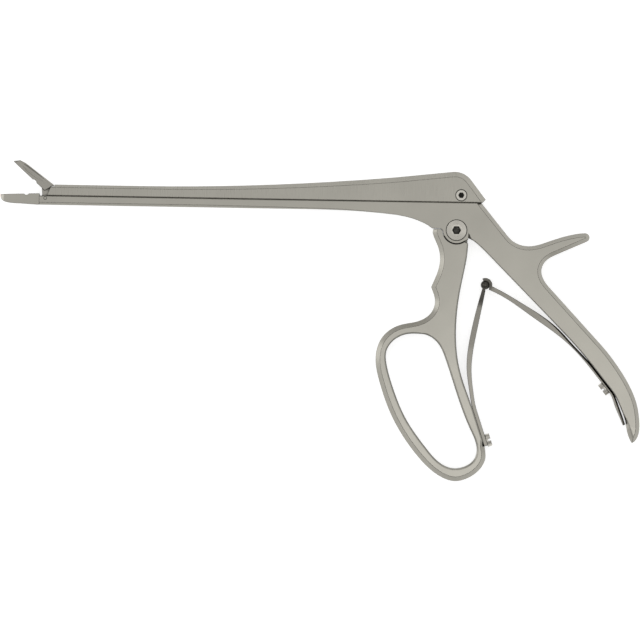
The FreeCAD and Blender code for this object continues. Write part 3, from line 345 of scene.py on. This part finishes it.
def make_materials():
    """Dresses every solid, and gives back the steels of the pieces that stand in for some."""
    satin = finished_steel("satin_steel", WARM_STEEL, roughness=0.30, fineness=4200.0,
                           mark_depth=0.05, bump=0.10)
    ground = finished_steel("cross_ground_steel", WARM_STEEL, roughness=0.29, fineness=3200.0,
                            mark_depth=0.09, bump=0.14, stretch=ACROSS_THE_BAR)
    jaw = finished_steel("jaw_steel", JAW_STEEL, roughness=0.29, fineness=5200.0,
                         mark_depth=0.05, bump=0.10)
    leaf = finished_steel("spring_steel", SPRING_STEEL, roughness=0.29, fineness=5200.0,
                          mark_depth=0.06, bump=0.08, stretch=ALONG_THE_LEAF, darker_at_meeting=True)
    pin = finished_steel("pin_steel", WARM_STEEL, roughness=0.30, fineness=6000.0,
                         mark_depth=0.04, bump=0.06)
    for node, material in (("main_frame", satin), ("finger_loop_handle", satin), ("slide_bar", ground),
                           ("moving_jaw", jaw), ("front_leaf_spring", leaf), ("rear_leaf_spring", leaf),
                           ("jaw_pivot_pin", pin), ("jaw_drive_pin", pin), ("front_spring_pin", pin),
                           ("rear_spring_pin", pin)):
        dress(frame["nodes"][node], material)
    for node in ("pivot_screw", "drive_screw", "pivot_sleeve", "drive_sleeve"):
        turned = finished_steel(node + "_steel", SCREW_STEEL, roughness=0.25, fineness=5000.0,
                                mark_depth=0.06, bump=0.12, centre=tuple(centre_of(node)),
                                recess_reach=SOCKET_REACH)
        dress(frame["nodes"][node], turned)
    for node in ("front_spring_screw", "rear_spring_screw"):
        slotted = finished_steel(node + "_steel", SCREW_STEEL, roughness=0.29, fineness=6500.0,
                                 mark_depth=0.07, bump=0.12)
        dress(frame["nodes"][node], slotted)
    return satin, jaw, leaf


def deselect_everything():
    if bpy.context.object and bpy.context.object.mode != "OBJECT":
        bpy.ops.object.mode_set(mode="OBJECT")
    bpy.ops.object.select_all(action="DESELECT")


def copy_of_node(node, name):
    """A separate piece with the node's shape, its seams merged so that it can bend."""
    deselect_everything()
    original = frame["nodes"][node]
    original.select_set(True)
    bpy.context.view_layer.objects.active = original
    bpy.ops.object.duplicate(linked=False)
    bpy.ops.object.parent_clear(type="CLEAR_KEEP_TRANSFORM")
    piece = bpy.context.object
    piece.name = name
    piece.data.name = name
    bpy.ops.mesh.customdata_custom_splitnormals_clear()
    bpy.ops.object.mode_set(mode="EDIT")
    bpy.ops.mesh.select_all(action="SELECT")
    bpy.ops.mesh.remove_doubles(threshold=0.0005 * MM)
    bpy.ops.mesh.normals_make_consistent(inside=False)
    bpy.ops.object.mode_set(mode="OBJECT")
    return piece


def cut_across(piece, start, end, spacing):
    """Cuts cross-lines into a piece at even steps from start to end, without parting it."""
    deselect_everything()
    piece.select_set(True)
    bpy.context.view_layer.objects.active = piece
    bpy.ops.object.mode_set(mode="EDIT")
    along = end - start
    steps = int(along.length / spacing)
    for number in range(steps + 1):
        bpy.ops.mesh.select_all(action="SELECT")
        bpy.ops.mesh.bisect(plane_co=start.lerp(end, number / steps), plane_no=along.normalized())
    bpy.ops.object.mode_set(mode="OBJECT")


def crisp(piece, angle):
    """Smooth shading with the real edges kept sharp."""
    for polygon in piece.data.polygons:
        polygon.use_smooth = True
    piece.data.set_sharp_from_angle(angle=math.radians(angle))


def mark_darker_end(leaf, reach):
    """Marks how much darker each place is near where the two leaves meet."""
    tint = leaf.data.attributes.new(MEETING_END_MARK, "FLOAT", "POINT")
    for vertex, mark in zip(leaf.data.vertices, tint.data):
        away = (vertex.co - MEETING).length
        mark.value = min(1.0, max(0.0, (reach - away) / MEETING_END_FADE + 0.5))


def make_flexing_spring(node, root, dark_end, material):
    """A copy of a leaf, cut across at even steps from its screw to where the two leaves meet."""
    leaf = copy_of_node(node, node.replace("spring", "flexing"))
    cut_across(leaf, root, MEETING, SPRING_STEP)
    mark_darker_end(leaf, dark_end)
    dress(leaf, material)
    crisp(leaf, 30.0)
    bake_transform(leaf)
    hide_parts(node)


def inner_bevel_directions(piece):
    """For each corner of the grip's inner bevels, the way out of the grip across the bevel."""
    ways = {}
    for polygon in piece.data.polygons:
        normal = polygon.normal
        place = polygon.center
        slanted = 0.3 < abs(normal.z) < 0.98 and normal.x < -0.1 and normal.y < 0.05
        if slanted and GRIP_INNER_START < place.x < GRIP_INNER_END and place.y < GRIP_TOP:
            for corner in polygon.vertices:
                way = ways.setdefault(corner, Vector((0.0, 0.0, 0.0)))
                way += Vector((normal.x, normal.y, 0.0)).normalized() * polygon.area
    return ways


def square_the_grip(piece):
    """Moves the wide inner bevels of the grip out until the inner side stands square."""
    for corner, way in inner_bevel_directions(piece).items():
        place = piece.data.vertices[corner].co
        rise = abs(place.z - THICKNESS / 2.0) - (THICKNESS / 2.0 - GRIP_BEVEL)
        if rise <= 0.0:
            continue
        share = min(1.0, max(0.0, (place.y - BEVELLED_FROM) / (SQUARE_TO - BEVELLED_FROM)))
        depth = rise * BEVEL_SPREAD if rise > GRIP_BEVEL * 0.9 else rise
        fine = FINE_BEVEL * max(0.0, rise / GRIP_BEVEL - FINE_BEVEL_FROM) / (1.0 - FINE_BEVEL_FROM)
        place += way.normalized() * (depth - fine) * share


def close_the_shoulder(piece):
    """Brings the frame's lower rim close to the shoulder of the finger loop's shank."""
    for vertex in piece.data.vertices:
        inside = all(low <= value <= high
                     for low, value, high in zip(SHOULDER_LOW, vertex.co, SHOULDER_HIGH))
        if inside:
            vertex.co += SHOULDER_CLOSING


def make_squared_frame(material):
    """The frame with the inner side of its grip square, as it is on the real instrument."""
    squared = copy_of_node("main_frame", "frame_with_square_grip")
    square_the_grip(squared)
    close_the_shoulder(squared)
    dress(squared, material)
    crisp(squared, 28.0)
    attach(squared, "frame")
    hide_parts("main_frame")


def scoop_side(piece, height, outward):
    """Hollows one side of the moving jaw along its length with a long round-ended cutter."""
    deselect_everything()
    along = JAW_SCOOP_END - JAW_SCOOP_START
    middle = (JAW_SCOOP_START + JAW_SCOOP_END) / 2.0
    middle.z = height + outward * (JAW_SCOOP_RADIUS - JAW_SCOOP_DEPTH)
    bpy.ops.mesh.primitive_uv_sphere_add(segments=48, ring_count=32, radius=1.0, location=middle)
    cutter = bpy.context.object
    cutter.rotation_euler = (0.0, 0.0, math.atan2(along.y, along.x))
    cutter.scale = (along.length * 1.02, JAW_SCOOP_RADIUS * 0.75, JAW_SCOOP_RADIUS)
    bpy.ops.object.transform_apply(location=True, rotation=True, scale=True)
    deselect_everything()
    piece.select_set(True)
    bpy.context.view_layer.objects.active = piece
    cut = piece.modifiers.new("scoop", "BOOLEAN")
    cut.operation = "DIFFERENCE"
    cut.object = cutter
    cut.solver = "EXACT"
    bpy.ops.object.modifier_apply(modifier=cut.name)
    bpy.data.objects.remove(cutter)


def lengthen_jaw_tip(piece):
    """Draws the last stretch of the moving jaw out to its full length."""
    for vertex in piece.data.vertices:
        short = (JAW_TIP_CORNER - vertex.co).dot(JAW_WAY)
        share = min(1.0, max(0.0, 1.0 - short / JAW_TIP_RUN))
        vertex.co += JAW_WAY * JAW_TIP_REACH * share


def trim_jaw_corner(piece, along, down):
    """Cuts the corner between the jaw's back and its tip, this far along and down."""
    corner = JAW_TIP_CORNER + JAW_WAY * JAW_TIP_REACH
    deselect_everything()
    piece.select_set(True)
    bpy.context.view_layer.objects.active = piece
    bpy.ops.object.mode_set(mode="EDIT")
    bpy.ops.mesh.select_all(action="SELECT")
    bpy.ops.mesh.bisect(plane_co=corner - JAW_WAY * along,
                        plane_no=(JAW_WAY * down + JAW_BACK_WAY * along).normalized(),
                        use_fill=True, clear_outer=True)
    bpy.ops.object.mode_set(mode="OBJECT")


def make_scooped_jaw(material):
    """The moving jaw with the long shallow hollow of its two sides."""
    scooped = copy_of_node("moving_jaw", "scooped_jaw")
    low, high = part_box("moving_jaw")
    lengthen_jaw_tip(scooped)
    for along, down in JAW_TIP_CUTS:
        trim_jaw_corner(scooped, along, down)
    scoop_side(scooped, high.z, 1.0)
    scoop_side(scooped, low.z, -1.0)
    dress(scooped, material)
    crisp(scooped, 32.0)
    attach(scooped, "jaw")
    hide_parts("moving_jaw")


def make_flexing_springs(material):
    """Both leaves, each cut across from its root to where the two leaves meet."""
    make_flexing_spring("front_leaf_spring", FRONT_ROOT, FRONT_DARK_END,
                        material)
    make_flexing_spring("rear_leaf_spring", REAR_ROOT, REAR_DARK_END, material)


def make_floor():
    """A pale table top under the lower faces of the instrument."""
    bpy.ops.mesh.primitive_plane_add(size=FLOOR_SIZE, location=(0.0, 0.0, -FLOOR_DROP))
    floor = bpy.context.object
    floor.name = "table_top"
    material = bpy.data.materials.new("pale_table")
    material.use_nodes = True
    tree = material.node_tree
    add = new_nodes(tree)
    tree.nodes.remove(tree.nodes["Principled BSDF"])
    path = add("ShaderNodeLightPath")
    seen = add("ShaderNodeMath", {0: path.outputs["Is Camera Ray"], 1: path.outputs["Is Glossy Ray"]},
               operation="MAXIMUM")
    shown = add("ShaderNodeMath", {0: seen.outputs[0], 1: path.outputs["Is Transmission Ray"]},
                operation="MAXIMUM")
    glow = add("ShaderNodeMath", {0: shown.outputs[0], 1: FLOOR_GLOW}, operation="MULTIPLY")
    lit = add("ShaderNodeBsdfDiffuse", {"Color": FLOOR_GREY})
    white = add("ShaderNodeEmission", {"Color": WHITE, "Strength": glow.outputs[0]})
    both = add("ShaderNodeAddShader", {0: lit.outputs[0], 1: white.outputs[0]})
    tree.links.new(both.outputs[0], tree.nodes["Material Output"].inputs["Surface"])
    floor.data.materials.append(material)


def make_sky():
    """A soft studio, bright overhead and to both sides with a darker band between.

    Seen straight from the camera it is plain white.
    """
    world = bpy.data.worlds.new("soft_studio")
    bpy.context.scene.world = world
    world.use_nodes = True
    tree = world.node_tree
    add = new_nodes(tree)
    direction = add("ShaderNodeTexCoord")
    split = add("ShaderNodeSeparateXYZ", {"Vector": direction.outputs["Generated"]})
    ramp = add("ShaderNodeValToRGB", {"Fac": split.outputs["Z"]})
    stops = ramp.color_ramp.elements
    stops[0].position = 0.0
    stops[0].color = shade(EVEN, SKY_HORIZON)
    stops[1].position = 1.0
    stops[1].color = shade(EVEN, SKY_TOP)
    for position, level in SKY_LEVELS:
        stops.new(position).color = shade(EVEN, level)
    sideways = add("ShaderNodeMath", {0: split.outputs["X"]}, operation="ABSOLUTE")
    side = add("ShaderNodeMapRange", {"Value": sideways.outputs[0], "From Min": 0.0, "From Max": SIDE_FULL,
                                      "To Min": SIDE_LOW, "To Max": SIDE_HIGH})
    background = tree.nodes["Background"]
    tree.links.new(ramp.outputs["Color"], background.inputs["Color"])
    tree.links.new(side.outputs["Result"], background.inputs["Strength"])
    backdrop = add("ShaderNodeBackground", {"Color": WHITE, "Strength": 1.0})
    path = add("ShaderNodeLightPath")
    shown = add("ShaderNodeMixShader", {0: path.outputs["Is Camera Ray"], 1: background.outputs[0],
                                        2: backdrop.outputs[0]})
    tree.links.new(shown.outputs[0], tree.nodes["World Output"].inputs["Surface"])


def add_lamp(name, place, aim, width, height, power):
    """A rectangular soft light that the camera doesn't see."""
    lamp = bpy.data.lights.new(name, "AREA")
    lamp.shape = "RECTANGLE"
    lamp.size = width
    lamp.size_y = height
    lamp.energy = power
    holder = bpy.data.objects.new(name, lamp)
    bpy.context.scene.collection.objects.link(holder)
    holder.location = place
    holder.rotation_euler = (Vector(aim) - Vector(place)).to_track_quat("-Z", "Y").to_euler()
    holder.visible_camera = False


def make_lamps():
    middle = (-0.05, -0.03, 0.0)
    add_lamp("left_softbox", (-0.85, 0.1, 0.42), middle, 0.5, 0.9, 1.6)
    add_lamp("upper_softbox", (0.1, 0.9, 0.75), middle, 1.0, 0.5, 1.2)
    add_lamp("handle_softbox", (0.025, -0.1, 0.42), (0.025, -0.1, 0.0), 0.22, 0.09, 0.07)


def make_camera():
    """Straight above the instrument, as the photograph was taken, with the same field."""
    lens = bpy.data.cameras.new("camera")
    lens.sensor_width = SENSOR
    lens.lens = SENSOR * CAMERA_DISTANCE / FIELD_WIDTH
    lens.clip_end = 10.0
    camera = bpy.data.objects.new("camera", lens)
    bpy.context.scene.collection.objects.link(camera)
    camera.location = FIELD_CENTRE + Vector((0.0, 0.0, THICKNESS + CAMERA_DISTANCE))
    camera.rotation_euler = (0.0, 0.0, FIELD_TURN)
    bpy.context.scene.camera = camera


satin_steel, jaw_steel, leaf_steel = make_materials()
make_squared_frame(satin_steel)
make_scooped_jaw(jaw_steel)
make_flexing_springs(leaf_steel)
make_floor()
make_sky()
make_lamps()
make_camera()
bpy.context.scene.view_settings.view_transform = "Standard"
